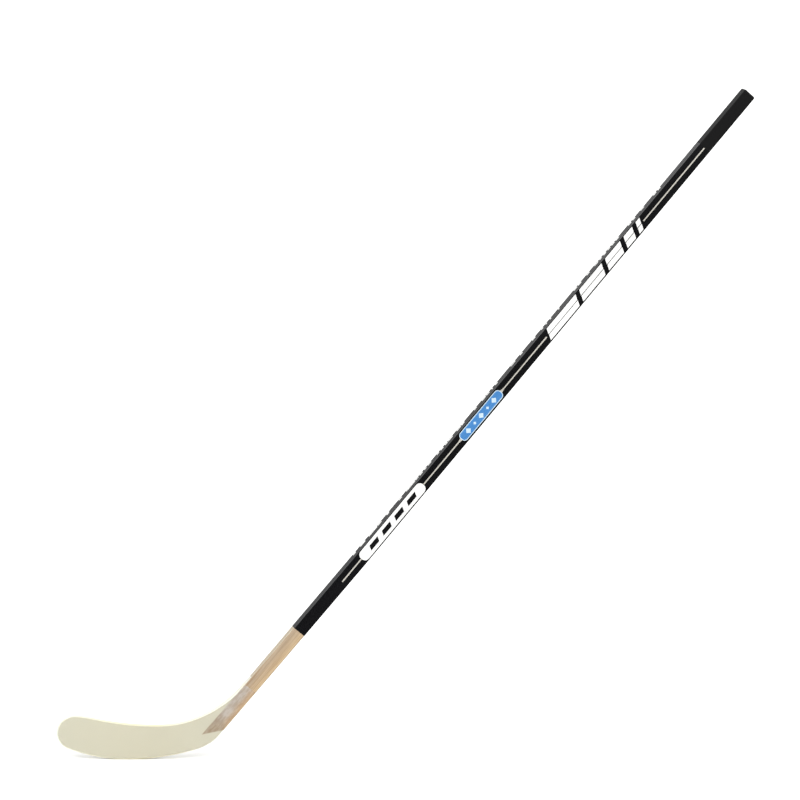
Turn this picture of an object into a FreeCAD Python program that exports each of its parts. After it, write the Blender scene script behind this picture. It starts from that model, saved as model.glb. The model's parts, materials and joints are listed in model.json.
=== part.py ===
import FreeCAD, Part
import math
import os

import Sketcher

# Ice hockey stick: laminated wooden shaft, printed film coat, ABS-cored blade in glass cloth.
#
# Row frame, in millimetres: the origin is the heel point, where the straight line of the shaft's rear
# edge meets the ice. +Z is up from the ice, the blade runs towards -X, and the shaft leans to +X.
# Shaft frame: x runs up the rear edge from the heel, y is the depth, z is the width from the rear edge
# (0) to the front edge. The placement of every shaft piece turns that frame up by the lie angle.

V = FreeCAD.Vector
doc = FreeCAD.newDocument("hockey_stick")
sheet = doc.addObject("Spreadsheet::Sheet", "sizes")

SIZES = [
    # whole stick
    ("lie_angle", 51.6, "degrees between the ice and the shaft"),
    ("stick_length", 1588.0, "heel point to butt end, along the rear edge"),
    ("blade_length", 269.4, "heel point to the tip of the toe"),
    # shaft, over its coat
    ("shaft_width", 27.0, "front edge to rear edge"),
    ("shaft_depth", 17.5, "broad face to broad face"),
    ("shaft_corner", 2.4, "rounding of the four long arrises"),
    ("butt_round", 4.5, "rounding of the butt end, seen on the broad face"),
    ("butt_round_side", 2.5, "rounding of the butt end, seen on the narrow face"),
    ("coat_wall", 0.25, "film or dip over the wood"),
    ("coat_start", 294.0, "heel to the film's lower edge"),
    ("dip_length", 131.0, "butt end to the dip's lower edge"),
    # lower end of the wood
    ("taper_start", 460.0, "heel to where the lower end begins to lean"),
    ("blend_start", 230.0, "heel to where the lower end begins to thin"),
    ("blend_end", 50.0, "heel to where the thinning ends"),
    ("blank_foot", 5.0, "heel to the foot of the uncut shaft blank"),
    ("front_lean", 2.0, "front edge forward of the straight shaft, at blend_start"),
    ("front_lean_foot", 4.5, "the same, at blend_end"),
    ("rear_lean", 2.6, "rear edge forward of the straight shaft, at blend_start"),
    ("rear_lean_foot", 3.8, "the same, at blend_end"),
    ("heel_depth", 8.0, "wood and core, at the heel"),
    ("foot_corner", 0.8, "front arrises of the thinned end"),
    ("end_cut_rear", 71.0, "heel to the slanted end cut, at the straight rear edge"),
    ("end_cut_front", 39.5, "heel to the slanted end cut, at the straight front edge"),
    # laminations
    ("veneer_wall", 0.9, "face veneer"),
    ("glass_wall", 0.4, "reinforcing layer under each veneer"),
    ("edge_strip", 5.75, "outer core strips, across the width"),
    # blade core
    ("tang_depth", 3.6, "tang of the core, in the slot of the shaft"),
    ("tang_top", 142.0, "heel to the top of the slot"),
    ("toe_depth", 4.6, "core at the toe"),
    ("toe_offset", 16.0, "curve of the blade: the toe's centre line off the shaft's mid-plane"),
    ("curve_start", 20.0, "heel to where the blade begins to curve"),
    ("rocker_low", 141.6, "heel to the lowest point of the rocker"),
    ("rocker_heel", 483.0, "radius of the rocker, heel half"),
    ("heel_round", 80.0, "radius of the heel"),
    ("nose_round", 32.3, "radius of the toe's nose"),
    ("nose_height", 49.6, "centre of the nose, above the ice"),
    ("nose_run", "=blade_length - nose_round - rocker_low", "rocker's low point to that centre"),
    ("rocker_toe", "=(nose_run^2 + nose_height^2 - nose_round^2) / (2 * (nose_height - nose_round))",
     "radius of the rocker, toe half: level at its low point and tangent to the nose"),
    ("toe_crown", 253.0, "radius of the upper edge behind the nose"),
    ("waist_height", 64.6, "lowest point of the upper edge, above the ice"),
    ("throat_round", 199.0, "radius of the throat"),
    ("flare_angle", 3.5, "degrees the flare above the throat closes in on the shaft"),
    ("flare_station", 145.0, "heel to the station where the flare is measured"),
    ("flare_reach", 31.3, "width from the straight rear edge to the flare, at flare_station"),
    ("waist_back", "=(throat_round + flare_station * sin(flare_angle) + flare_reach * cos(flare_angle)"
     " - (waist_height + throat_round) * cos(lie_angle - flare_angle)) / sin(lie_angle - flare_angle)",
     "heel to the waist, where the throat has come round level"),
    ("waist_rise", "=waist_height - nose_height", "centre of the nose up to the waist"),
    ("nose_clear", 2.68, "clear distance between the nose's circle and the waist's"),
    ("waist_round", "=((blade_length - nose_round - waist_back)^2 + waist_rise^2"
     " - (nose_round + nose_clear)^2) / (2 * (nose_round + nose_clear - waist_rise))",
     "radius of the upper edge at the waist, which leaves the crown room to join the nose"),
    ("edge_round", 1.8, "rounding of the blade's edges"),
    # cloth
    ("cloth_wall", 0.4, "glass cloth in resin"),
    ("cloth_top", 156.0, "heel to the cloth's square upper edge"),
    ("cloth_inset", 2.1, "cloth trimmed inside the blade's outline"),
    # printed graphics on the front broad face
    ("print_wall", 0.1, "printed layer"),
    ("print_drawn_for", 1588.0, "length of the stick that the graphics are set out on"),
    ("print_reach", "=stick_length / print_drawn_for", "their places stretch with the stick"),
    ("stripe_width", 2.4, "centre stripe"),
    ("stripe_low", "=416 * print_reach", "heel to the stripe's lower end"),
    ("stripe_gap", 0.6, "clear space between the stripe and what it meets"),
    ("stripe_axis", 13.5, "rear edge to the middle of the stripe and badges"),
    ("upper_low", "=1004 * print_reach", "heel to the upper graphic's lower end"),
    ("upper_long", 277.0, "length of the upper graphic"),
    ("upper_wide", 20.6, "width of the upper graphic"),
    ("bar_slant", 11.0, "how far the ends of the bars lean along the shaft"),
    ("bar_split", 1.3, "dark line along the middle of the bars"),
    ("blue_low", "=758 * print_reach", "heel to the blue badge's lower end"),
    ("blue_long", 114.0, "length of the blue badge"),
    ("blue_wide", 19.0, "width of the blue badge"),
    ("blue_corner", 8.0, "corner radius of the blue badge"),
    ("blue_border", 1.4, "pale border of the blue badge"),
    ("blue_mark", 12.0, "large lozenges on the blue badge, point to point"),
    ("blue_mark_small", 6.5, "small lozenges between them"),
    ("point_long", 8.0, "length of the cream points where the stripe meets the blue badge"),
    ("point_wide", 7.0, "width of those points at the badge"),
    ("white_low", "=471 * print_reach", "heel to the white badge's lower end"),
    ("white_long", 178.0, "length of the white badge"),
    ("white_wide", 21.0, "width of the white badge"),
    ("white_corner", 9.5, "corner radius of the white badge"),
    ("white_mark", 9.0, "width of the dark blocks on the white badge"),
]
for row, (alias, value, note) in enumerate(SIZES, 1):
    sheet.set(f"A{row}", note)
    sheet.set(f"B{row}", str(value))
    sheet.setAlias(f"B{row}", alias)
doc.recompute()


def size(alias):
    """The value of one cell, for the pieces whose outline is worked out below."""
    return float(getattr(sheet, alias))


def bind(obj, **expressions):
    """Binds properties to the sheet; aliases are written bare and get their sheet's name here."""
    names = sorted((alias for alias, _, _ in SIZES), key=len, reverse=True)
    for prop, text in expressions.items():
        obj.setExpression(prop.replace("__", "."), with_sheet(text, names))
    return obj


def with_sheet(text, names):
    """Puts the sheet's name before each whole alias in an expression."""
    out, word = "", ""
    for char in str(text) + " ":
        if char.isalnum() or char == "_":
            word += char
            continue
        out += ("sizes." + word if word in names else word) + char
        word = ""
    return out.strip()


def box(name, low, high):
    """A box in the shaft frame between two corners, each three expressions."""
    obj = doc.addObject("Part::Box", name)
    return bind(
        obj,
        Length=f"({high[0]}) - ({low[0]})",
        Width=f"({high[1]}) - ({low[1]})",
        Height=f"({high[2]}) - ({low[2]})",
        Placement__Base__x=low[0],
        Placement__Base__y=low[1],
        Placement__Base__z=low[2],
    )


def joined(kind, name, *objects):
    """A boolean of two or more objects."""
    obj = doc.addObject(kind, name)
    if kind == "Part::Cut" or kind == "Part::Common":
        obj.Base, obj.Tool = objects
    else:
        obj.Shapes = list(objects)
    return obj


PLANES = {
    # sketch x, y, normal -> frame axes
    "section": FreeCAD.Rotation(V(1, 1, 1), 120),  # x is depth, y is width, normal up the shaft
    "broad": FreeCAD.Rotation(V(1, 0, 0), 90),  # x up the shaft, y is width, normal to the front
    "narrow": FreeCAD.Rotation(),  # x up the shaft, y is depth, normal to the front edge
}


def rounded_sketch(name, plane, low, high, lower_round, upper_round):
    """A rectangle from low to high whose two corners at low y, or at low x on the long planes,
    have one radius and whose other two corners have another. Every size is an expression."""
    sketch = doc.addObject("Sketcher::SketchObject", name)
    sketch.Placement = FreeCAD.Placement(V(), PLANES[plane])
    probe = bind(doc.addObject("Part::Box", name + "_probe"), Length="1")
    values = []
    for text in (*low, *high, lower_round, upper_round):
        bind(probe, Length=f"100000 + ({text})")
        doc.recompute()
        values.append(probe.Length.Value - 100000)
    doc.removeObject(probe.Name)
    x0, y0, x1, y1, r0, r1 = values
    across = plane == "section"
    radii = [r0, r0, r1, r1] if across else [r0, r1, r1, r0]
    corners = [(x0, y0), (x1, y0), (x1, y1), (x0, y1)]
    inward = [(1, 1), (-1, 1), (-1, -1), (1, -1)]
    start = [(i + 2) % 4 * 90 for i in range(4)]
    arcs, ends = [], []
    for (cx, cy), (sx, sy), r, a in zip(corners, inward, radii, start):
        centre = V(cx + sx * r, cy + sy * r, 0)
        arc = Part.Arc(Part.Circle(centre, V(0, 0, 1), r), math.radians(a), math.radians(a + 90))
        arcs.append(sketch.addGeometry(arc))
        ends.append((arc.StartPoint, arc.EndPoint))
    lines = []
    for i in range(4):
        line = Part.LineSegment(ends[i][1], ends[(i + 1) % 4][0])
        lines.append(sketch.addGeometry(line))
    add = sketch.addConstraint
    for i in range(4):
        add(Sketcher.Constraint("Tangent", arcs[i], 2, lines[i], 1))
        add(Sketcher.Constraint("Tangent", lines[i], 2, arcs[(i + 1) % 4], 1))
        add(Sketcher.Constraint("Vertical" if i % 2 else "Horizontal", lines[i]))
    equal = [(0, 1), (2, 3)] if across else [(0, 3), (1, 2)]
    for first, second in equal:
        add(Sketcher.Constraint("Equal", arcs[first], arcs[second]))
    bound = [
        ("Radius", lower_round, (arcs[0], r0)),
        ("Radius", upper_round, (arcs[2], r1)),
        ("DistanceX", low[0], (-1, 1, lines[3], 1, x0)),
        ("DistanceY", low[1], (-1, 1, lines[0], 1, y0)),
        ("DistanceX", high[0], (-1, 1, lines[1], 1, x1)),
        ("DistanceY", high[1], (-1, 1, lines[2], 1, y1)),
    ]
    for kind, text, arguments in bound:
        index = add(Sketcher.Constraint(kind, *arguments))
        bind(sketch, **{f"Constraints[{index}]": text})
    return sketch


def polygon_sketch(name, plane, points):
    """A closed outline of straight lines through points, each given by two expressions."""
    sketch = doc.addObject("Sketcher::SketchObject", name)
    sketch.Placement = FreeCAD.Placement(V(), PLANES[plane])
    count = len(points)
    ring = [V(10 * math.cos(2 * math.pi * i / count), 10 * math.sin(2 * math.pi * i / count), 0)
            for i in range(count)]
    lines = [sketch.addGeometry(Part.LineSegment(ring[i], ring[(i + 1) % count]))
             for i in range(count)]
    add = sketch.addConstraint
    for i in range(count):
        add(Sketcher.Constraint("Coincident", lines[i], 2, lines[(i + 1) % count], 1))
    for i, (x, y) in enumerate(points):
        for kind, text, now in (("DistanceX", x, ring[i].x), ("DistanceY", y, ring[i].y)):
            index = add(Sketcher.Constraint(kind, -1, 1, lines[i], 1, now))
            bind(sketch, **{f"Constraints[{index}]": text})
    return sketch


def prism(name, sketch, near, far):
    """A sketch on a long plane pushed along its normal, from near to far (expressions)."""
    obj = doc.addObject("Part::Extrusion", name)
    obj.Base = sketch
    obj.DirMode = "Normal"
    obj.Solid = True
    return bind(obj, LengthFwd=far, LengthRev=f"-({near})")


def piece(name, obj):
    """Marks a finished piece of the shaft: its node name, and its turn up to the lie angle."""
    obj.Label = name
    obj.Placement = FreeCAD.Placement(V(), FreeCAD.Rotation(V(0, -1, 0), size("lie_angle")))
    bind(obj, Placement__Rotation__Angle="lie_angle")
    nodes.append(obj)
    return obj


nodes = []

# Cutting blocks and prisms run past the stick by these lengths, which only have to clear it.
beyond_end = "stick_length * 1.03"
below_foot = "-stick_length / 10"
past_back = "shaft_depth * 3"
past_front = "-shaft_depth * 3"
past_rear = "-shaft_width * 2"
past_edge = "shaft_width * 4"

# ---------------------------------------------------------------- the shaft's shape
# Two blanks, one of the bare wood and one over the coat, ruled through the same stations.


def shaft_blank(name, over):
    """The shaft's shape with its faces moved out by over, an expression, from the bare wood."""
    half = f"(shaft_depth / 2 - coat_wall + {over})"
    thin = f"(heel_depth / 2 + {over})"
    corner = f"(shaft_corner - coat_wall + {over})"
    front = f"shaft_width - coat_wall + {over}"
    rear = f"coat_wall - ({over})"
    foot_front, foot_rear = f"{front} + front_lean_foot", f"{rear} + rear_lean_foot"
    stations = [
        ("foot", "blank_foot", foot_front, foot_rear, thin, "foot_corner"),
        ("blend_end", "blend_end", foot_front, foot_rear, thin, "foot_corner"),
        ("blend_start", "blend_start", f"{front} + front_lean", f"{rear} + rear_lean", half, corner),
        ("taper_start", "taper_start", front, rear, half, corner),
        ("end", beyond_end, front, rear, half, corner),
    ]
    sections = []
    for label, station, top, bottom, depth, front_round in stations:
        section = rounded_sketch(
            f"{name}_{label}", "section", (f"-{depth}", bottom), (depth, top), corner, front_round
        )
        bind(section, Placement__Base__x=station)
        sections.append(section)
    loft = doc.addObject("Part::Loft", f"{name}_loft")
    loft.Sections = sections
    loft.Solid = True
    loft.Ruled = True
    end = f"stick_length - coat_wall + {over}"
    side_on = prism(
        f"{name}_narrow",
        rounded_sketch(f"{name}_narrow_sketch", "narrow", (below_foot, f"-{half}"), (end, half),
                       "foot_corner", f"butt_round_side - coat_wall + {over}"),
        past_rear, past_edge,
    )
    # the broad outline is that of the straight shaft, so it trims only what is above the lean
    crown = prism(
        f"{name}_crown",
        rounded_sketch(f"{name}_crown_sketch", "broad", ("taper_start", rear), (end, front),
                       "foot_corner", f"butt_round - coat_wall + {over}"),
        past_front, past_back,
    )
    below = box(f"{name}_below", (below_foot, past_front, past_rear),
                ("taper_start + 2 * shaft_width", past_back, past_edge))
    outer = joined("Part::MultiFuse", f"{name}_outer", crown, below)
    shaped = joined("Part::Common", f"{name}_shaped", loft, outer)
    return joined("Part::Common", f"{name}_blank", shaped, side_on)


wood = shaft_blank("wood", "0")
coat = shaft_blank("coat", "coat_wall")

# ---------------------------------------------------------------- the wood, cut for the blade
slot = box("slot", (below_foot, "-tang_depth / 2", past_rear),
           ("tang_top", "tang_depth / 2", past_edge))
slotted = joined("Part::Cut", "slotted", wood, slot)
# one shaft width past each edge, the cut is as much further on as it runs in one shaft width
cut_run = "(end_cut_rear - end_cut_front)"
end_cut = prism(
    "end_cut",
    polygon_sketch("end_cut_sketch", "broad", [
        (f"end_cut_rear + {cut_run}", "-shaft_width"),
        (f"end_cut_front - {cut_run}", "2 * shaft_width"),
        (below_foot, "2 * shaft_width"),
        (below_foot, "-shaft_width"),
    ]),
    past_front, past_back,
)
fork = joined("Part::Cut", "fork", slotted, end_cut)

inner_wide = "((shaft_width - 2 * coat_wall - 2 * edge_strip) / 3)"
first_inner = "coat_wall + edge_strip"
stations = (below_foot, "blend_end", "blend_start", beyond_end)


def under_face(wall):
    """Distances from the mid-plane, at the four stations, of a layer this far under the face."""
    foot = f"(heel_depth / 2 - ({wall}))"
    full = f"(shaft_depth / 2 - coat_wall - ({wall}))"
    return (foot, foot, full, full)


def layer_block(name, near, far, low, high):
    """The space between two sets of distances from the mid-plane, from width low to width high."""
    points = list(zip(stations, near)) + list(zip(stations, far))[::-1]
    return prism(name, polygon_sketch(f"{name}_sketch", "narrow", points), low, high)


def mirrored(distances):
    """The same distances on the front face's side, where depth is negative."""
    return [f"-{distance}" for distance in distances]


under_veneer = under_face("veneer_wall")
under_glass = under_face("veneer_wall + glass_wall")
past_face = under_face("-shaft_corner")

strips = [
    ("core_edge_strip_rear", past_rear, first_inner),
    ("core_strip_rear", first_inner, f"{first_inner} + {inner_wide}"),
    ("core_strip_middle", f"{first_inner} + {inner_wide}", f"{first_inner} + 2 * {inner_wide}"),
    ("core_strip_front", f"{first_inner} + 2 * {inner_wide}", f"{first_inner} + 3 * {inner_wide}"),
    ("core_edge_strip_front", f"{first_inner} + 3 * {inner_wide}", past_edge),
]
for name, low, high in strips:
    block = layer_block(f"{name}_block", mirrored(under_glass), under_glass, low, high)
    piece(name, joined("Part::Common", f"{name}_solid", fork, block))

for name, near, far in (("glass_layer", under_glass, under_veneer),
                        ("face_veneer", under_veneer, past_face)):
    for side in ("front", "back"):
        flip = mirrored if side == "front" else list
        block = layer_block(f"{name}_{side}_block", flip(near), flip(far), past_rear, past_edge)
        piece(f"{name}_{side}", joined("Part::Common", f"{name}_{side}_solid", fork, block))

# ---------------------------------------------------------------- film and dip
coat_shell = joined("Part::Cut", "coat_shell", coat, wood)
film_block = box("film_block", ("coat_start", past_front, past_rear),
                 ("stick_length - dip_length", past_back, past_edge))
piece("film_coat", joined("Part::Common", "film_solid", coat_shell, film_block))
dip_block = box("dip_block", ("stick_length - dip_length", past_front, past_rear),
                (beyond_end, past_back, past_edge))
piece("butt_dip", joined("Part::Common", "dip_solid", coat_shell, dip_block))

# ---------------------------------------------------------------- printed graphics, front face
face = "(shaft_depth / 2)"
printed = (face, f"({face} + print_wall)")


def printed_plate(name, sketch):
    """A sketch on the broad plane as one printed layer on the front face."""
    return prism(name, sketch, *printed)


def printed_bar(name, low, high, bottom, top):
    """A plain printed rectangle."""
    corners = [(low, bottom), (high, bottom), (high, top), (low, top)]
    return printed_plate(name, polygon_sketch(f"{name}_sketch", "broad", corners))


def badge_sketch(name, kind, inset):
    """A badge's outline, inset by an expression."""
    half = f"({kind}_wide / 2 - {inset})"
    corner = f"{kind}_corner - {inset}"
    return rounded_sketch(
        name, "broad",
        (f"{kind}_low + {inset}", f"stripe_axis - {half}"),
        (f"{kind}_low + {kind}_long - {inset}", f"stripe_axis + {half}"),
        corner, corner,
    )


stripe_edges = ("stripe_axis - stripe_width / 2", "stripe_axis + stripe_width / 2")
runs = [
    ("lowest", "stripe_low", "white_low - stripe_gap"),
    ("low", "white_low + white_long + stripe_gap", "blue_low - point_long"),
    ("middle", "blue_low + blue_long + point_long", "upper_low - stripe_gap"),
    ("top", "upper_low + upper_long + stripe_gap", "stick_length - dip_length - stripe_gap"),
]
for name, low, high in runs:
    piece(f"stripe_{name}", printed_bar(f"stripe_{name}_bar", low, high, *stripe_edges))


def leaning_bar(name, low, high, bottom, top, lean_bottom, lean_top):
    """A printed parallelogram; each lean is its long side's own shift up the shaft."""
    return printed_plate(name, polygon_sketch(f"{name}_sketch", "broad", [
        (f"{low} + {lean_bottom}", bottom),
        (f"{high} + {lean_bottom}", bottom),
        (f"{high} + {lean_top}", top),
        (f"{low} + {lean_top}", top),
    ]))


# Upper graphic: leaning bars that shorten up the shaft, split by a dark line along their middle.
# Each bar is named by where it starts and stops, as shares of the graphic's length.
BARS = [(0.00, 0.31), (0.35, 0.59), (0.63, 0.79), (0.83, 0.92), (0.96, 1.00)]
rows = {
    "rear": ("stripe_axis - upper_wide / 2", "stripe_axis - bar_split / 2", "0", "bar_slant / 2"),
    "front": ("stripe_axis + bar_split / 2", "stripe_axis + upper_wide / 2", "bar_slant / 2",
              "bar_slant"),
}
bars = []
for row_name, row_sides in rows.items():
    for number, (start, stop) in enumerate(BARS):
        low = f"upper_low + (upper_long - bar_slant) * {start}"
        high = f"upper_low + (upper_long - bar_slant) * {stop}"
        bars.append(leaning_bar(f"bar_{row_name}_{number}", low, high, *row_sides))
piece("upper_graphic", joined("Part::MultiFuse", "upper_bars", *bars))

# Blue badge: a border, a field with windows for the marks, and the marks that fill the windows.
blue_outer = printed_plate("blue_outer", badge_sketch("blue_outer_sketch", "blue", "0"))
blue_inner = printed_plate("blue_inner", badge_sketch("blue_inner_sketch", "blue", "blue_border"))
piece("blue_badge_border", joined("Part::Cut", "blue_ring", blue_outer, blue_inner))
MARKS = [0.18, 0.34, 0.50, 0.66, 0.82]  # centres along the badge; every second one is small
marks = []
for number, share in enumerate(MARKS):
    half = "blue_mark / 2" if number % 2 == 0 else "blue_mark_small / 2"
    centre = f"blue_low + blue_long * {share}"
    sketch = polygon_sketch(f"blue_mark_{number}_sketch", "broad", [
        (f"{centre} - {half}", "stripe_axis"),
        (centre, f"stripe_axis - {half}"),
        (f"{centre} + {half}", "stripe_axis"),
        (centre, f"stripe_axis + {half}"),
    ])
    marks.append(printed_plate(f"blue_mark_{number}", sketch))
blue_marks = joined("Part::MultiFuse", "blue_lozenges", *marks)
piece("blue_badge_field", joined("Part::Cut", "blue_windowed", blue_inner, blue_marks))
piece("blue_badge_marks", joined("Part::MultiFuse", "blue_marks_solid", *marks))

# Cream points: the stripe widens to meet the badge's round ends and stops at its edge.
points = []
for end, edge, way in (("low", "blue_low", -1), ("high", "blue_low + blue_long", 1)):
    start, inside = f"{edge} + {way} * point_long", f"{edge} - {way} * blue_corner / 2"
    sketch = polygon_sketch(f"point_{end}_sketch", "broad", [
        (start, stripe_edges[0]),
        (inside, "stripe_axis - point_wide / 2"),
        (inside, "stripe_axis + point_wide / 2"),
        (start, stripe_edges[1]),
    ])
    points.append(printed_plate(f"point_{end}", sketch))
both_points = joined("Part::MultiFuse", "both_points", *points)
piece("blue_badge_points", joined("Part::Cut", "points_outside", both_points, blue_outer))

# White badge: a plate with windows, and the equal dark blocks that fill them.
white_plate = printed_plate("white_plate", badge_sketch("white_sketch", "white", "0"))
DASHES = [(0.13, 0.26), (0.33, 0.46), (0.53, 0.66), (0.73, 0.86)]
dash_sides = ("stripe_axis - white_mark / 2", "stripe_axis + white_mark / 2")
dashes = []
for number, (start, stop) in enumerate(DASHES):
    ends = [f"white_low + white_long * {share}" for share in (start, stop)]
    lean = "bar_slant * white_mark / upper_wide"
    dashes.append(leaning_bar(f"white_dash_{number}", *ends, *dash_sides, "0", lean))
white_dashes = joined("Part::MultiFuse", "white_dashes", *dashes)
piece("white_badge_plate", joined("Part::Cut", "white_windowed", white_plate, white_dashes))
piece("white_badge_marks", joined("Part::MultiFuse", "white_marks_solid", *dashes))

# ---------------------------------------------------------------- the blade's outline
# The outline is a ring of arcs, each tangent to the next, worked out from their radii and from a few
# places. In the row frame it lies in the XZ plane. These points are written as (x, z).
LIE = math.radians(size("lie_angle"))
UP = (math.cos(LIE), math.sin(LIE))  # up the shaft
FORWARD = (-math.sin(LIE), math.cos(LIE))  # from the rear edge to the front edge
ICE, SKY = (0.0, -1.0), (0.0, 1.0)
# past every side of the blade by this much, for the solids that only cut
CLEAR = size("blade_length")
# points closer than this are taken as touching
TOUCH = 0.02
# rounds of halving or of repeating that a search takes
HALVINGS = 60


def shift(point, direction, length):
    return (point[0] + direction[0] * length, point[1] + direction[1] * length)


def dot(a, b):
    return a[0] * b[0] + a[1] * b[1]


def unit(a, b):
    """The direction from a to b."""
    length = math.hypot(b[0] - a[0], b[1] - a[1])
    return ((b[0] - a[0]) / length, (b[1] - a[1]) / length)


def on_shaft(station, width):
    """A point of the shaft frame in the row frame."""
    return shift(shift((0.0, 0.0), UP, station), FORWARD, width)


def between(x, x0, y0, x1, y1):
    return y0 + (y1 - y0) * (x - x0) / (x1 - x0)


def wood_edge(kind, station):
    """Width from the straight rear edge to the wood's front or rear edge, at or below blend_start."""
    start = size("shaft_width") - size("coat_wall") if kind == "front" else size("coat_wall")
    foot, top = size("blend_end"), size("blend_start")
    low = size(f"{kind}_lean_foot")
    high = size(f"{kind}_lean")
    return start + (low if station < foot else between(station, foot, low, top, high))


def blade_centres():
    """Centres of the outline's arcs, each from tangency with its neighbours."""
    low = (-size("rocker_low"), 0.0)
    toe_half = shift(low, SKY, size("rocker_toe"))
    heel_half = shift(low, SKY, size("rocker_heel"))
    # the nose sits inside the toe half of the rocker and ends the blade
    nose_x = -size("blade_length") + size("nose_round")
    reach = size("rocker_toe") - size("nose_round")
    nose = (nose_x, toe_half[1] - math.sqrt(reach**2 - (nose_x - toe_half[0]) ** 2))
    # the flare line, and the throat that touches it and is level at the waist
    turn = LIE - math.radians(size("flare_angle"))
    along = (math.cos(turn), math.sin(turn))
    out = (-math.sin(turn), math.cos(turn))
    start = on_shaft(size("flare_station"), size("flare_reach"))
    throat_z = size("waist_height") + size("throat_round")
    throat_x = -size("waist_back")
    throat = (throat_x, throat_z)
    waist = (throat_x, size("waist_height") + size("waist_round"))
    # the crown lies inside the nose's side and outside the waist
    a, b = size("toe_crown") - size("nose_round"), size("waist_round") + size("toe_crown")
    gap = math.hypot(waist[0] - nose[0], waist[1] - nose[1])
    line = unit(nose, waist)
    step = (a * a - b * b + gap * gap) / (2 * gap)
    side = math.sqrt(a * a - step * step)
    crown = shift(shift(nose, line, step), (line[1], -line[0]), side)
    # the heel sits inside the heel half of the rocker, against the wood's rear edge
    rear = wood_edge("rear", 0.0)
    reach = size("rocker_heel") - size("heel_round")
    inset = rear + size("heel_round")
    toward = dot(heel_half, UP)
    off = inset - dot(heel_half, FORWARD)
    heel = on_shaft(toward - math.sqrt(reach**2 - off**2), inset)
    return dict(low=low, toe_half=toe_half, heel_half=heel_half, nose=nose, throat=throat,
                waist=waist, crown=crown, heel=heel, start=start, along=along, out=out)


def vector(point, y=0.0):
    return V(point[0], y, point[1])


def arc(centre, radius, first, last, y=0.0):
    """The shorter arc about a centre between the directions first and last."""
    middle = unit((0.0, 0.0), (first[0] + last[0], first[1] + last[1]))
    points = [vector(shift(centre, way, radius), y) for way in (first, middle, last)]
    return Part.Arc(*points).toShape()


def lower_edges(c, inset, y):
    """From the toe's tip along the nose, the rocker and the heel to the wood's rear edge."""
    tip = (-1.0, 0.0)
    to_rocker = unit(c["toe_half"], c["nose"])
    to_heel = unit(c["heel_half"], c["heel"])
    backward = (-FORWARD[0], -FORWARD[1])
    return [
        arc(c["nose"], size("nose_round") - inset, tip, to_rocker, y),
        arc(c["toe_half"], size("rocker_toe") - inset, to_rocker, ICE, y),
        arc(c["heel_half"], size("rocker_heel") - inset, ICE, to_heel, y),
        arc(c["heel"], size("heel_round") - inset, to_heel, backward, y),
    ]


def upper_edges(c, inset, y):
    """From the flare along the throat, the waist and the crown to the toe's tip."""
    to_flare = (-c["out"][0], -c["out"][1])
    to_crown = unit(c["waist"], c["crown"])
    crown_to_nose = unit(c["crown"], c["nose"])
    back = (-to_crown[0], -to_crown[1])
    return [
        arc(c["throat"], size("throat_round") + inset, to_flare, ICE, y),
        arc(c["waist"], size("waist_round") + inset, ICE, to_crown, y),
        arc(c["crown"], size("toe_crown") - inset, back, crown_to_nose, y),
        arc(c["nose"], size("nose_round") - inset, crown_to_nose, (-1.0, 0.0), y),
    ]


def flare_line(c, inset, station):
    """Where the flare, moved in by inset, crosses the station."""
    start = shift(c["start"], c["out"], -inset)
    reach = (station - dot(start, UP)) / dot(c["along"], UP)
    return shift(start, c["along"], reach)


def outline_solid(c, inset, shaft_points):
    """The outline as a thick plate. shaft_points lead from the heel arc round to the throat."""
    y = -CLEAR
    lower, upper = lower_edges(c, inset, y), upper_edges(c, inset, y)
    ends = [v.Point for v in lower[-1].Vertexes] + [v.Point for v in upper[0].Vertexes]
    heel_end = max(ends[:2], key=lambda p: p.z)
    throat_end = max(ends[2:], key=lambda p: p.z)
    points = [heel_end] + [vector(p, y) for p in shaft_points] + [throat_end]
    straight = [Part.makeLine(a, b) for a, b in zip(points, points[1:])]
    wire = Part.Wire(Part.__sortEdges__(lower + straight + upper))
    return Part.Face(wire).extrude(V(0, 2 * CLEAR, 0))


# ---------------------------------------------------------------- the blade's thickness
# Below the heel the faces follow the blade's curve, seen from above; above it they follow the shaft.


def curved_face(side, out):
    """Centre, radius and start of one face of the core, moved out; side is -1 front, 1 back."""
    start_x = -size("curve_start")
    near = side * size("heel_depth") / 2
    rise = size("toe_offset") + side * size("toe_depth") / 2 - near
    run = size("blade_length") - size("curve_start")
    radius = (run * run + rise * rise) / (2 * rise)
    return (start_x, near + radius), radius - side * out, (start_x, near + side * out)


def curved_edges(side, out, z):
    """The face as an edge, from the joint at curve_start to past the toe."""
    centre, radius, start = curved_face(side, out)
    past = -size("blade_length") - size("curve_start")
    end_y = centre[1] - math.sqrt(radius**2 - (past - centre[0]) ** 2)
    half_x = (start[0] + past) / 2
    half_y = centre[1] - math.sqrt(radius**2 - (half_x - centre[0]) ** 2)
    points = [V(start[0], start[1], z), V(half_x, half_y, z), V(past, end_y, z)]
    return Part.Arc(*points).toShape(), points[0], points[2]


def blade_band(side_a, out_a, side_b, out_b):
    """The space between two faces of the blade, toe-wards of curve_start."""
    z = -CLEAR
    first, first_near, first_far = curved_edges(side_a, out_a, z)
    second, second_near, second_far = curved_edges(side_b, out_b, z)
    edges = [first, Part.makeLine(first_far, second_far), second,
             Part.makeLine(second_near, first_near)]
    wire = Part.Wire(Part.__sortEdges__(edges))
    return Part.Face(wire).extrude(V(0, 0, 2 * CLEAR))


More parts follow.
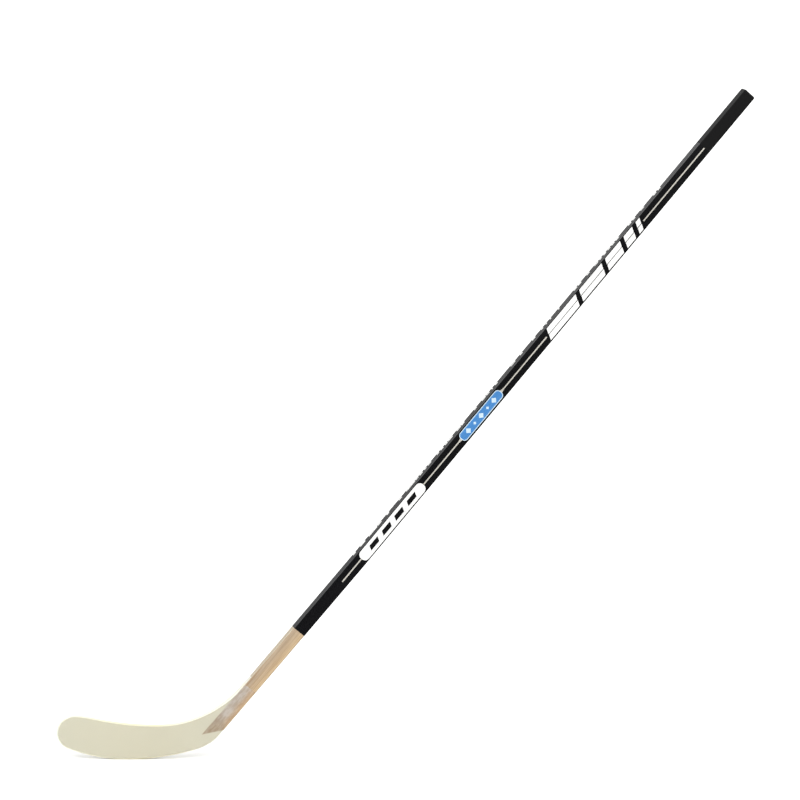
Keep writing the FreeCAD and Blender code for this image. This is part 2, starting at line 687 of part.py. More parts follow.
def hosel_band(side_a, out_a, side_b, out_b):
    """The space between two faces of the hosel, heel-wards of curve_start."""
    half_foot = size("heel_depth") / 2
    half_top = size("shaft_depth") / 2 - size("coat_wall")
    stations = [(-CLEAR, half_foot), (size("blend_end"), half_foot),
                (size("blend_start"), half_top), (size("taper_start"), half_top)]
    first = [V(x, side_a * (half + out_a), -CLEAR) for x, half in stations]
    second = [V(x, side_b * (half + out_b), -CLEAR) for x, half in reversed(stations)]
    band = Part.Face(Part.makePolygon(first + second + first[:1])).extrude(V(0, 0, 3 * CLEAR))
    band.rotate(V(), V(0, 1, 0), -size("lie_angle"))
    corner = V(-size("curve_start"), -CLEAR, -CLEAR)
    limit = Part.makeBox(4 * CLEAR, 2 * CLEAR, 4 * CLEAR, corner)
    return band.common(limit)


def blade_layer(outline, side_a, out_a, side_b, out_b, rounding=0.0):
    """The outline cut to the space between two faces, blade and hosel in one solid."""
    halves = []
    for band in (blade_band, hosel_band):
        half = outline.common(band(side_a, out_a, side_b, out_b))
        halves.append(rounded_edges(half, centres, rounding) if rounding else half)
    return halves[0].fuse(halves[1]).removeSplitter()


def rounded_edges(solid, c, radius):
    """Rounds the edges where the outline meets the two faces, away from the wood."""
    picked = []
    for edge in solid.Edges:
        ends = [edge.valueAt(edge.FirstParameter), edge.valueAt(edge.LastParameter)]
        middle = edge.valueAt((edge.FirstParameter + edge.LastParameter) / 2)
        across = abs(ends[0].y - ends[1].y) > size("toe_depth") / 2
        if across and abs(ends[0].x - ends[1].x) < TOUCH:
            continue
        if near_outline((middle.x, middle.z), c):
            picked.append(edge)
    return solid.makeFillet(radius, picked)


def near_outline(point, c):
    """True on the arcs and the flare, which the wood doesn't cover."""
    rings = [("nose", "nose_round"), ("toe_half", "rocker_toe"), ("heel_half", "rocker_heel"),
             ("heel", "heel_round"), ("throat", "throat_round"), ("waist", "waist_round"),
             ("crown", "toe_crown")]
    for centre, radius in rings:
        span = math.hypot(point[0] - c[centre][0], point[1] - c[centre][1])
        if abs(span - size(radius)) < TOUCH:
            return True
    off = dot((point[0] - c["start"][0], point[1] - c["start"][1]), c["out"])
    return abs(off) < TOUCH


centres = blade_centres()
slant = (size("end_cut_rear") - size("end_cut_front")) / size("shaft_width")


def cut_point(kind):
    """Where the slanted end cut crosses the wood's front or rear edge."""
    station = size("end_cut_rear")
    for _ in range(HALVINGS):
        station = size("end_cut_rear") - slant * wood_edge(kind, station)
    return on_shaft(station, wood_edge(kind, station))


def flare_top():
    """The station where the flare line runs out on the wood's front edge."""
    low, high = size("flare_station"), size("blend_start") + CLEAR
    for _ in range(HALVINGS):
        station = (low + high) / 2
        proud = dot(flare_line(centres, 0.0, station), FORWARD) - wood_edge("front", station)
        low, high = (station, high) if proud > 0 else (low, station)
    return (low + high) / 2


top = flare_top()
beyond = top + 2 * size("shaft_width")
# the core is first drawn on past the wood, so that its rounded edges run out cleanly, then trimmed
whole_outline = outline_solid(centres, 0.0, [
    on_shaft(beyond, wood_edge("rear", 0.0)),
    flare_line(centres, 0.0, beyond),
])
core = blade_layer(whole_outline, -1, 0.0, 1, 0.0, size("edge_round"))
far = 2 * CLEAR
over_top = top + CLEAR
keep_points = [
    shift(cut_point("rear"), unit(cut_point("front"), cut_point("rear")), far),
    cut_point("front"),
    on_shaft(size("blend_end"), wood_edge("front", size("blend_end"))),
    on_shaft(over_top, wood_edge("front", over_top)),
    on_shaft(over_top, far),
    on_shaft(-far, far),
    on_shaft(-far, -far),
]
ring = [vector(p, -CLEAR) for p in keep_points]
keep = Part.Face(Part.makePolygon(ring + ring[:1])).extrude(V(0, 2 * CLEAR, 0))
core = core.common(keep)

doc.recompute()
tang = wood.Shape.common(slot.Shape).cut(end_cut.Shape)
tang.rotate(V(), V(0, 1, 0), -size("lie_angle"))
core = core.fuse(tang).removeSplitter()

cloth_top = size("cloth_top")
inset = size("cloth_inset")
cloth_shaft_points = [
    on_shaft(cloth_top, wood_edge("rear", cloth_top) + inset),
    flare_line(centres, inset, cloth_top),
]
cloth_outline = outline_solid(centres, inset, cloth_shaft_points)
cloth_wall = size("cloth_wall")
blade_pieces = {
    "blade_core": core,
    "cloth_front": blade_layer(cloth_outline, -1, 0.0, -1, cloth_wall),
    "cloth_back": blade_layer(cloth_outline, 1, 0.0, 1, cloth_wall),
}
for name, shape in blade_pieces.items():
    feature = doc.addObject("Part::Feature", name)
    feature.Shape = shape.Solids[0] if len(shape.Solids) == 1 else shape
    feature.Placement = FreeCAD.Placement()
    feature.Label = name
    nodes.append(feature)

# ---------------------------------------------------------------- checks and files
doc.recompute()
for obj in doc.Objects:
    bad = [state for state in obj.State if state in ("Invalid", "Error")]
    if bad:
        raise RuntimeError(f"{obj.Name} failed: {obj.State}")
os.makedirs("parts", exist_ok=True)
for node in nodes:
    shape = node.Shape
    if shape.isNull() or not shape.isValid() or not shape.Solids:
        raise RuntimeError(f"{node.Label} has no valid solid")
    shape.exportStep(f"parts/{node.Label}.step")
    extent = shape.BoundBox
    print(f"{node.Label:24s} solids {len(shape.Solids)} volume {shape.Volume:10.1f} mm3 "
          f"x {extent.XMin:.1f}..{extent.XMax:.1f} y {extent.YMin:.1f}..{extent.YMax:.1f} "
          f"z {extent.ZMin:.1f}..{extent.ZMax:.1f}")
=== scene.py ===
# %% [markdown]
# # An ice hockey stick, dressed for the studio
#
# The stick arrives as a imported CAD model: strips of wood, glass layers, a black film, printed marks,
# a plastic blade core and its cloth. Its shapes and sizes are settled. This lesson gives every piece
# its finish, weaves the blade's cloth, prints the small ticks on the shaft's narrow side, and sets up
# a plain studio around it.

# %% Load the frame
import json
import math

import bmesh
import bpy
from mathutils import Matrix, Vector


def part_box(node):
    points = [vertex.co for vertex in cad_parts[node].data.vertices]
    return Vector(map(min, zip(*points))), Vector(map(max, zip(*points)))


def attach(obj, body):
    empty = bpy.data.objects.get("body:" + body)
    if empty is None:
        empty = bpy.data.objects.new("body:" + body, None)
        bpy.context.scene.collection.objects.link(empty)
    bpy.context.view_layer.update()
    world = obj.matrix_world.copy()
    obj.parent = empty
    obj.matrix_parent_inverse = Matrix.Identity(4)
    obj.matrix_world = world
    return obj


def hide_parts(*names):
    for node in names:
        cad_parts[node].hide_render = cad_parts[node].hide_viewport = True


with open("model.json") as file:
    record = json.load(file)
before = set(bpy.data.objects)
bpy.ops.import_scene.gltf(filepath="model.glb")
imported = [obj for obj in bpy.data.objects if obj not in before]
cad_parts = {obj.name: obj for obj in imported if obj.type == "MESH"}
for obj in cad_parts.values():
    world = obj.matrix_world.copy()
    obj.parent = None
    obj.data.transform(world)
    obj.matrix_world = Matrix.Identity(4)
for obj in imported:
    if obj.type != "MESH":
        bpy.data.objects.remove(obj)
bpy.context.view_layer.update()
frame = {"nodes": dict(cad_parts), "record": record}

# %% [markdown]
# ## The stick's own directions
#
# The row frame has +Z up from the ice. Most of the stick is easier to talk about in a second frame,
# along the shaft: how far up from the heel, how deep, and how far across from the rear edge. The
# record's mount on the butt end points straight up the shaft, so the lie angle comes from there.

# %% Shaft frame
MM = 0.001
mounts = {mount["name"]: mount for mount in frame["record"]["mounts"]}
UP = Vector(mounts["butt_end"]["axis"]).normalized()
DEPTH = Vector((0.0, 1.0, 0.0))
FORWARD = Vector((-UP.z, 0.0, UP.x))
LIE = math.atan2(UP.z, UP.x)
BUTT = Vector(mounts["butt_end"]["pos_m"])
STICK_LENGTH = BUTT.dot(UP)
SHAFT_WIDTH = 2 * BUTT.dot(FORWARD)
print("lie", round(math.degrees(LIE), 2), "length", round(STICK_LENGTH, 4))


def on_shaft(up, depth, across):
    """A point of the shaft frame, in metres."""
    return UP * up + DEPTH * depth + FORWARD * across


def shaft_span(name):
    """Lowest and highest value of a CAD node along the shaft, in depth and across."""
    spans = []
    for axis in (UP, DEPTH, FORWARD):
        values = [vertex.co.dot(axis) for vertex in frame["nodes"][name].data.vertices]
        spans.append((min(values), max(values)))
    return spans


FILM_LOW, FILM_HIGH = shaft_span("film_coat")[0]
print("film from", round(FILM_LOW, 4), "to", round(FILM_HIGH, 4))

# %% [markdown]
# ## Small tools for materials
#
# Colours are picked as hex values from a paint card, and Blender works in linear light, so one
# function converts them. One more function adds a shader node, fills in its settings and joins its
# links. The others are short steps that the materials share: a colour ramp, a new shader, surface
# relief, one colour over another, and the shaft's own coordinates.

# %% Colour and node helpers


def paint(code, alpha=1.0):
    """A hex colour from a paint card, as linear light."""
    channels = [int(code[i:i + 2], 16) / 255 for i in (1, 3, 5)]
    linear = [c / 12.92 if c <= 0.04045 else ((c + 0.055) / 1.055) ** 2.4 for c in channels]
    return (*linear, alpha)


def add(tree, kind, inputs=(), **settings):
    """Adds a node. Settings are its properties; inputs pairs a socket with a value or an output."""
    made = tree.nodes.new(kind)
    for name, value in settings.items():
        setattr(made, name, value)
    for socket, value in dict(inputs).items():
        if isinstance(value, bpy.types.NodeSocket):
            tree.links.new(value, made.inputs[socket])
        else:
            made.inputs[socket].default_value = value
    return made


def ramp(tree, factor, *stops):
    """A colour ramp through (place, colour) stops."""
    made = add(tree, "ShaderNodeValToRGB", {"Fac": factor})
    elements = made.color_ramp.elements
    while len(elements) < len(stops):
        elements.new(0.5)
    for element, (place, colour) in zip(elements, stops):
        element.position = place
        element.color = colour
    return made.outputs["Color"]


def new_material(name, **shader):
    """A material with one Principled shader, and its tree. Values go on the shader's sockets."""
    material = bpy.data.materials.new(name)
    material.use_nodes = True
    tree = material.node_tree
    for socket, value in shader.items():
        tree.nodes["Principled BSDF"].inputs[socket.replace("_", " ")].default_value = value
    return material, tree


def plug(tree, output, socket):
    """Joins an output to the Principled shader."""
    tree.links.new(output, tree.nodes["Principled BSDF"].inputs[socket])


def bump(tree, height, distance, strength=1.0):
    """Turns a height pattern into surface relief; distance is the relief's depth in metres."""
    relief = add(tree, "ShaderNodeBump", {"Height": height, "Distance": distance,
                                          "Strength": strength})
    plug(tree, relief.outputs["Normal"], "Normal")


def mix(tree, under, over, share, how="MIX"):
    """One colour laid over another; share is how much of it takes. MULTIPLY lays it like a stain."""
    return add(tree, "ShaderNodeMix", {0: share, 6: under, 7: over},
               data_type="RGBA", blend_type=how).outputs[2]


def along_shaft(tree, scale=(1.0, 1.0, 1.0), origin=(0.0, 0.0, 0.0)):
    """Object coordinates turned into the shaft frame: x up the shaft, y depth, z across."""
    place = add(tree, "ShaderNodeTexCoord").outputs["Object"]
    turned = add(tree, "ShaderNodeVectorRotate", {"Vector": place, "Angle": LIE},
                 rotation_type="Y_AXIS")
    moved = add(tree, "ShaderNodeMapping", {"Vector": turned.outputs["Vector"],
                                            "Location": origin, "Scale": scale})
    return moved.outputs["Vector"]


print("mid grey is", round(paint("#808080")[0], 3), "in linear light")

# %% [markdown]
# ## Wood
#
# The shaft's face is a sanded veneer of birch under a thin clear seal: pale, straight-grained, with a
# browner band of heartwood towards the front edge and yellower sapwood behind it. Straight grain is
# noise stretched hard along the shaft. Three scales are laid over each other: the broad colour of the
# log, growth rings a few millimetres apart, and fine dark pores about half a millimetre wide.

# %% Wood material
RING_SPACING = 2.6 * MM
PORE_WIDTH = 0.5 * MM
GRAIN_STRETCH = 45.0


def wood(name, sapwood, heartwood, streak, heart_side=0.0, roughness=0.5):
    """Sealed straight-grained wood. heart_side leans the darker wood towards the front edge."""
    material, tree = new_material(name, IOR=1.5, Coat_Weight=0.12, Coat_Roughness=0.25)
    grain = along_shaft(tree, (1 / GRAIN_STRETCH, 1.0, 1.0))
    broad = add(tree, "ShaderNodeTexNoise", {"Vector": grain, "Scale": 1 / (14 * MM),
                                             "Detail": 3.0, "Roughness": 0.55, "Distortion": 0.4})
    rings = add(tree, "ShaderNodeTexNoise", {"Vector": grain, "Scale": 1 / RING_SPACING,
                                             "Detail": 4.0, "Roughness": 0.6, "Distortion": 0.8})
    pores = add(tree, "ShaderNodeTexNoise", {"Vector": grain, "Scale": 1 / PORE_WIDTH,
                                             "Detail": 2.0, "Roughness": 0.7})
    across = add(tree, "ShaderNodeSeparateXYZ", {"Vector": along_shaft(tree)}).outputs["Z"]
    side = add(tree, "ShaderNodeMapRange", {"Value": across, "From Min": 0.30 * SHAFT_WIDTH,
                                            "From Max": 0.85 * SHAFT_WIDTH, "To Min": 0.0,
                                            "To Max": heart_side}).outputs["Result"]
    share = add(tree, "ShaderNodeMath", {0: broad.outputs["Fac"], 1: side}, operation="ADD")
    ground = ramp(tree, share.outputs["Value"], (0.38, paint(sapwood)), (0.78, paint(heartwood)))
    ring_tone = ramp(tree, rings.outputs["Fac"], (0.35, paint(streak)), (0.58, (1, 1, 1, 1)))
    pore_tone = ramp(tree, pores.outputs["Fac"], (0.30, paint("#d8c6ae")), (0.50, (1, 1, 1, 1)))
    ringed = mix(tree, ground, ring_tone, 0.55, "MULTIPLY")
    plug(tree, mix(tree, ringed, pore_tone, 0.5, "MULTIPLY"), "Base Color")
    shine = add(tree, "ShaderNodeMapRange", {"Value": pores.outputs["Fac"],
                                             "To Min": roughness + 0.12, "To Max": roughness - 0.08})
    plug(tree, shine.outputs["Result"], "Roughness")
    bump(tree, pores.outputs["Fac"], 0.04 * MM)
    return material


birch_veneer = wood("sealed_birch_veneer", "#cdb48e", "#b19d84", "#c0a583", heart_side=0.34)
ash_edge = wood("sealed_ash_edge", "#bfb5a4", "#b0a48e", "#b3a48c", roughness=0.5)
aspen_core = wood("aspen_core", "#dccdb0", "#ccb894", "#c9b08c")
print("three woods; growth rings", RING_SPACING / MM, "mm apart")

# %% [markdown]
# ## Black film and matt dip
#
# The shaft is wrapped in a printed film that is rolled on hot. It is a glossy black plastic with a
# slight orange peel, a millimetre or two across, where the wood's grain presses through lengthwise.
# The butt end was then dipped in a matt black paint for grip, so it is rougher and a shade greyer.

# %% Coat materials


def rolled_film(name, colour, roughness=0.16):
    """Hot-rolled printed film: gloss over a faint lengthwise telegraph of the grain."""
    material, tree = new_material(name, IOR=1.5, Coat_Weight=0.35, Coat_Roughness=0.06)
    peel = add(tree, "ShaderNodeTexNoise", {"Vector": along_shaft(tree, (1 / 12, 1.0, 1.0)),
                                            "Scale": 1 / (1.6 * MM), "Detail": 2.0})
    smudge = add(tree, "ShaderNodeTexNoise", {"Vector": along_shaft(tree, (0.25, 1.0, 1.0)),
                                              "Scale": 1 / (30 * MM), "Detail": 3.0})
    light, dark = paint(colour), [c * 0.8 for c in paint(colour)[:3]] + [1.0]
    plug(tree, ramp(tree, smudge.outputs["Fac"], (0.3, dark), (0.7, light)), "Base Color")
    shine = add(tree, "ShaderNodeMapRange", {"Value": smudge.outputs["Fac"],
                                             "To Min": roughness * 0.7, "To Max": roughness * 1.5})
    plug(tree, shine.outputs["Result"], "Roughness")
    bump(tree, peel.outputs["Fac"], 0.012 * MM)
    return material


def dipped_paint(name, colour):
    """Matt dip paint: fine pebble about 0.4 mm across, and slow waves where it drained."""
    material, tree = new_material(name, IOR=1.48)
    pebble = add(tree, "ShaderNodeTexNoise", {"Vector": along_shaft(tree), "Detail": 3.0,
                                              "Scale": 1 / (0.4 * MM)})
    drain = add(tree, "ShaderNodeTexNoise", {"Vector": along_shaft(tree, (0.3, 1.0, 1.0)),
                                             "Scale": 1 / (9 * MM), "Detail": 2.0})
    light, dark = paint(colour), [c * 0.75 for c in paint(colour)[:3]] + [1.0]
    plug(tree, ramp(tree, drain.outputs["Fac"], (0.3, dark), (0.7, light)), "Base Color")
    shine = add(tree, "ShaderNodeMapRange", {"Value": drain.outputs["Fac"],
                                             "To Min": 0.62, "To Max": 0.5})
    plug(tree, shine.outputs["Result"], "Roughness")
    bump(tree, pebble.outputs["Fac"], 0.03 * MM)
    return material


black_film = rolled_film("black_rolled_film", "#141416")
black_dip = dipped_paint("matt_black_dip", "#070708")
inks = {
    "cream": rolled_film("cream_ink_on_film", "#c6c2b8", 0.2),
    "white": rolled_film("white_ink_on_film", "#fbfbf9", 0.2),
    "blue": rolled_film("blue_ink_on_film", "#4a8acb", 0.2),
    "pale_blue": rolled_film("pale_blue_ink_on_film", "#cfe6f5", 0.2),
    "black": rolled_film("black_ink_on_film", "#151517", 0.2),
}
print("film, dip and", len(inks), "inks")

# %% [markdown]
# ## The blade's plastic
#
# The core is moulded ABS, ivory and a little translucent, so it has some subsurface scattering. Its
# colour is warmer and a little darker in the middle of the blade, greyer towards the toe and lighter
# again at the heel. The resin pooled unevenly, which shows as soft clouds a few centimetres across.

# %% Blade core material
BLADE_LENGTH = -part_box("blade_core")[0].x


def moulded_abs(name):
    """Ivory ABS with soft clouds, warmer in the middle of the blade than at the toe."""
    material, tree = new_material(
        name, IOR=1.53, Roughness=0.38, Subsurface_Weight=0.12,
        Subsurface_Radius=(4 * MM, 3 * MM, 1.6 * MM), Subsurface_Scale=1.0,
    )
    place = add(tree, "ShaderNodeTexCoord").outputs["Object"]
    x = add(tree, "ShaderNodeSeparateXYZ", {"Vector": place}).outputs["X"]
    toewards = add(tree, "ShaderNodeMapRange", {"Value": x, "From Min": -BLADE_LENGTH,
                                                "From Max": 0.12 * BLADE_LENGTH}).outputs["Result"]
    cloud = add(tree, "ShaderNodeTexNoise", {"Vector": place, "Scale": 1 / (55 * MM),
                                             "Detail": 3.0, "Roughness": 0.55})
    drift = add(tree, "ShaderNodeMath", {0: cloud.outputs["Fac"], 1: 0.30, 2: -0.15},
                operation="MULTIPLY_ADD")
    where = add(tree, "ShaderNodeMath", {0: toewards, 1: drift.outputs["Value"]}, operation="ADD")
    tone = ramp(
        tree, where.outputs["Value"],
        (0.00, paint("#d7d9ca")), (0.12, paint("#d9d8c4")), (0.45, paint("#d9d4b8")),
        (0.62, paint("#d5cfb0")), (0.80, paint("#dbd8c4")), (1.00, paint("#d8d6c8")),
    )
    plug(tree, tone, "Base Color")
    fine = add(tree, "ShaderNodeTexNoise", {"Vector": place, "Scale": 1 / (0.8 * MM),
                                            "Detail": 2.0})
    bump(tree, fine.outputs["Fac"], 0.015 * MM)
    return material


ivory_abs = moulded_abs("moulded_ivory_abs")
print("blade", round(BLADE_LENGTH / MM, 1), "mm long")

# %% [markdown]
# ## Dressing the CAD pieces
#
# A piece whose CAD shape is already right keeps it, and only its material changes. A material goes in
# every slot of the piece's mesh. The printed layers and all of the wood are dressed like this.

# %% Give the CAD pieces their materials
glass_fibre = rolled_film("glass_fibre_in_resin", "#c9cbb8", 0.3)
FINISHES = {
    "core_edge_strip_rear": ash_edge,
    "core_edge_strip_front": ash_edge,
    "core_strip_rear": aspen_core,
    "core_strip_middle": aspen_core,
    "core_strip_front": aspen_core,
    "glass_layer_front": glass_fibre,
    "glass_layer_back": glass_fibre,
    "face_veneer_front": birch_veneer,
    "face_veneer_back": birch_veneer,
    "film_coat": black_film,
    "butt_dip": black_dip,
    "stripe_lowest": inks["cream"],
    "stripe_low": inks["cream"],
    "stripe_middle": inks["cream"],
    "stripe_top": inks["cream"],
    "upper_graphic": inks["white"],
    "blue_badge_border": inks["pale_blue"],
    "blue_badge_field": inks["blue"],
    "blue_badge_marks": inks["pale_blue"],
    "blue_badge_points": inks["cream"],
    "white_badge_plate": inks["white"],
    "white_badge_marks": inks["black"],
    "blade_core": ivory_abs,
}


def dress(node, material):
    """Puts one material in every slot of a CAD piece."""
    mesh = frame["nodes"][node].data
    if not mesh.materials:
        mesh.materials.append(material)
    for index in range(len(mesh.materials)):
        mesh.materials[index] = material


for node, material in FINISHES.items():
    dress(node, material)
print("dressed", len(FINISHES), "of", len(frame["nodes"]), "CAD pieces")

# %% [markdown]
# ## Glass cloth
#
# A sheet of plain-woven glass is laid over each face of the blade and soaked in clear resin. Wet
# glass cloth is nearly clear: over the ivory plastic it hardly shows, and over the brown wood it is a
# pale haze, greyest towards the front edge where more resin ran and brownest near the wood's end,
# with flecks of the veneer's grain showing through. The material is half transparent, with a fine
# relief of threads crossing at right angles, 45 degrees to the ice, and a satin resin shine. The
# threads are 1.6 mm apart, as in a coarse reinforcing cloth.

# %% Cloth material
THREAD = 1.6 * MM
WAVES_PER_UNIT = 20 / math.tau  # a wave texture of scale 1 has this many bands in a metre
POOL_SIZE = 22.0 * MM  # across one pool of resin
POOL_SHARE = 0.5  # how much the pools blur the haze's own borders
FLECK_SIZE = 3.5 * MM  # across one fleck of the veneer's grain

# The wood behind the cloth ends here: a slanted cut, and a front edge that leans back up the shaft.
CUT_REAR = 71.0 * MM  # heel to the cut, at the rear edge
CUT_FRONT = 39.5 * MM  # heel to the cut, at the front edge
CUT_SLANT = (CUT_REAR - CUT_FRONT) / SHAFT_WIDTH
CUT_SOFT = 1.0 * MM
BLEND_END = 50.0 * MM  # heel to where the shaft's thinning ends
BLEND_START = 230.0 * MM  # heel to where it begins
FRONT_LOW = 31.25 * MM  # the front edge at BLEND_END, from the straight rear edge
FRONT_HIGH = 28.75 * MM  # and at BLEND_START
FRONT_LEAN = (FRONT_LOW - FRONT_HIGH) / (BLEND_START - BLEND_END)
FRONT_EDGE = FRONT_LOW + BLEND_END * FRONT_LEAN
EDGE_SOFT = 0.6 * MM

# The haze turns from its rear tone to its front tone across the shaft, and brown towards the cut.
RUN_REAR, RUN_FRONT = 4.0 * MM, 24.0 * MM
BROWN_TOP, BROWN_FOOT = 96.0 * MM, 44.0 * MM


def wet_cloth(name, over_plastic, over_wood_front, over_wood_rear, over_end, alpha):
    """Glass cloth in resin: clear over the plastic, a haze of three tones where wood lies behind."""
    material, tree = new_material(name, IOR=1.5, Roughness=0.32, Alpha=alpha)
    place = add(tree, "ShaderNodeTexCoord").outputs["Object"]
    turned = add(tree, "ShaderNodeVectorRotate", {"Vector": place, "Angle": math.radians(45)},
                 rotation_type="Y_AXIS").outputs["Vector"]
    threads = [
        add(tree, "ShaderNodeTexWave", {"Vector": turned, "Scale": 1 / (WAVES_PER_UNIT * THREAD)},
            wave_type="BANDS", bands_direction=axis, wave_profile="SIN").outputs["Fac"]
        for axis in ("X", "Z")
    ]
    weave = add(tree, "ShaderNodeMath", {0: threads[0], 1: threads[1]}, operation="MULTIPLY")
    shaft = add(tree, "ShaderNodeSeparateXYZ", {"Vector": along_shaft(tree)}).outputs
    pool = add(tree, "ShaderNodeTexNoise", {"Vector": place, "Scale": 1 / POOL_SIZE,
                                            "Detail": 3.0}).outputs["Fac"]
    # the wood ends in a slanted cut and, in front, in an edge that leans back up the shaft
    from_cut = add(tree, "ShaderNodeMath", {0: shaft["Z"], 1: CUT_SLANT, 2: shaft["X"]},
                   operation="MULTIPLY_ADD").outputs["Value"]
    past_cut = add(tree, "ShaderNodeMapRange", {
        "Value": from_cut, "From Min": CUT_REAR - CUT_SOFT,
        "From Max": CUT_REAR + CUT_SOFT}).outputs["Result"]
    edge = add(tree, "ShaderNodeMath", {0: shaft["X"], 1: FRONT_LEAN, 2: shaft["Z"]},
               operation="MULTIPLY_ADD").outputs["Value"]
    behind_edge = add(tree, "ShaderNodeMapRange", {
        "Value": edge, "From Min": FRONT_EDGE + EDGE_SOFT,
        "From Max": FRONT_EDGE - EDGE_SOFT}).outputs["Result"]
    backed = add(tree, "ShaderNodeMath", {0: past_cut, 1: behind_edge},
                 operation="MULTIPLY").outputs["Value"]
    # more resin ran to the front edge, and it is browner near the wood's end
    forward = add(tree, "ShaderNodeMapRange", {
        "Value": shaft["Z"], "From Min": RUN_REAR, "From Max": RUN_FRONT}).outputs["Result"]
    run = add(tree, "ShaderNodeMath", {0: pool, 1: POOL_SHARE, 2: forward},
              operation="MULTIPLY_ADD").outputs["Value"]
    haze = ramp(tree, run, (0.45, paint(over_wood_rear)), (0.95, paint(over_wood_front)))
    down = add(tree, "ShaderNodeMapRange", {
        "Value": shaft["X"], "From Min": BROWN_TOP, "From Max": BROWN_FOOT}).outputs["Result"]
    low = add(tree, "ShaderNodeMath", {0: pool, 1: POOL_SHARE, 2: down},
              operation="MULTIPLY_ADD").outputs["Value"]
    brown = add(tree, "ShaderNodeMapRange", {"Value": low, "From Min": 0.35,
                                             "From Max": 0.95}).outputs["Result"]
    haze = mix(tree, haze, paint(over_end), brown)
    # the veneer's grain shows through where the cloth is thin
    fleck = add(tree, "ShaderNodeTexNoise", {"Vector": along_shaft(tree, (0.3, 1.0, 1.0)),
                                             "Scale": 1 / FLECK_SIZE, "Detail": 4.0}).outputs["Fac"]
    grain = ramp(tree, fleck, (0.38, paint("#cfb79c")), (0.60, (1, 1, 1, 1)))
    haze = mix(tree, haze, grain, 0.45, "MULTIPLY")
    plug(tree, mix(tree, paint(over_plastic), haze, backed), "Base Color")
    bump(tree, weave.outputs["Value"], 0.04 * MM, 0.5)
    return material


clear_cloth = wet_cloth("glass_cloth_in_resin", "#dcd8c4", "#d2cac0", "#d6bb9a", "#bfb09a", 0.5)
print("threads", round(THREAD / MM, 1), "mm apart")

# %% [markdown]
# ## The blade's two faces
#
# The blade is straight near the heel and curves away towards the toe, and each of its faces is one
# round arc seen from above. Above the heel the faces follow the thickening shaft. The cloth lies on
# these faces, so one function gives the depth of a face at any place.

# %% Face of the blade
HEEL_DEPTH = 8.0 * MM
TOE_DEPTH = 4.6 * MM
TOE_OFFSET = 16.0 * MM
CURVE_START = 20.0 * MM
WOOD_DEPTH = 17.0 * MM
FRONT, BACK = -1, 1


def face_depth(x, z, side):
    """How far from the shaft's mid-plane the blade's face lies; side is FRONT or BACK."""
    near = side * HEEL_DEPTH / 2
    if x < -CURVE_START:
        rise = TOE_OFFSET + side * TOE_DEPTH / 2 - near
        run = BLADE_LENGTH - CURVE_START
        radius = (run * run + rise * rise) / (2 * rise)
        return near + radius - math.sqrt(radius * radius - (x + CURVE_START) ** 2)
    up = Vector((x, 0, z)).dot(UP)
    share = min(max((up - BLEND_END) / (BLEND_START - BLEND_END), 0.0), 1.0)
    return side * (HEEL_DEPTH + (WOOD_DEPTH - HEEL_DEPTH) * share) / 2


print("toe face depths", [round(face_depth(-BLADE_LENGTH, 0, side) / MM, 2) for side in (-1, 1)])

# %% [markdown]
# ## Cutting and laying the cloth
#
# The cloth's outline is read off the CAD sheet that it replaces. Threads can't show as geometry at
# this size, but the sheet can be a proper thin shell: rows of points run across the blade from its
# lower edge to its upper edge, upright in the blade and turning to lie square across the shaft. Each
# row gets an outer point and an inner point, and the sheet thins out over the last millimetre or so
# at its edges, where it has been sanded.

# %% Outline of the cloth


def cut_outline(node, side):
    """The outline of a CAD sheet's outer face as a closed ring of (x, z), in order."""
    sheet = bmesh.new()
    sheet.from_mesh(frame["nodes"][node].data)
    bmesh.ops.remove_doubles(sheet, verts=sheet.verts, dist=0.01 * MM)
    sheet.normal_update()
    outer = [face for face in sheet.faces if face.normal.y * side > 0.7]
    bmesh.ops.delete(sheet, geom=list(set(sheet.faces) - set(outer)), context="FACES")
    rim = {edge for edge in sheet.edges if edge.is_boundary}
    ring = [next(iter(rim)).verts[0]]
    while rim:
        step = next((edge for edge in ring[-1].link_edges if edge in rim), None)
        if step is None:
            break
        rim.remove(step)
        ring.append(step.other_vert(ring[-1]))
    points = [(vertex.co.x, vertex.co.z) for vertex in ring[:-1]]
    sheet.free()
    return points


def crossings(ring, point, direction):
    """Where a line in the blade's plane crosses the outline, lowest along the line first."""
    across = (-direction[1], direction[0])
    found = []
    for (ax, az), (bx, bz) in zip(ring, ring[1:] + ring[:1]):
        da = (ax - point[0]) * across[0] + (az - point[1]) * across[1]
        db = (bx - point[0]) * across[0] + (bz - point[1]) * across[1]
        if (da < 0) != (db < 0):
            share = da / (da - db)
            x, z = ax + (bx - ax) * share, az + (bz - az) * share
            found.append(((x - point[0]) * direction[0] + (z - point[1]) * direction[1], x, z))
    found.sort()
    return found[0][1:], found[-1][1:]


front_ring = cut_outline("cloth_front", FRONT)
print("cloth outline of", len(front_ring), "points")

# %% [markdown]
# The rows start close together round the nose, are even along the blade, fan round the heel, and end
# square on the shaft. Each row is a line that is cut where it crosses the outline.

# %% Rows across the blade
NOSE_ROWS, BLADE_ROWS, HEEL_ROWS, SHAFT_ROWS = 26, 90, 14, 40
NOSE_LENGTH = 32.0 * MM


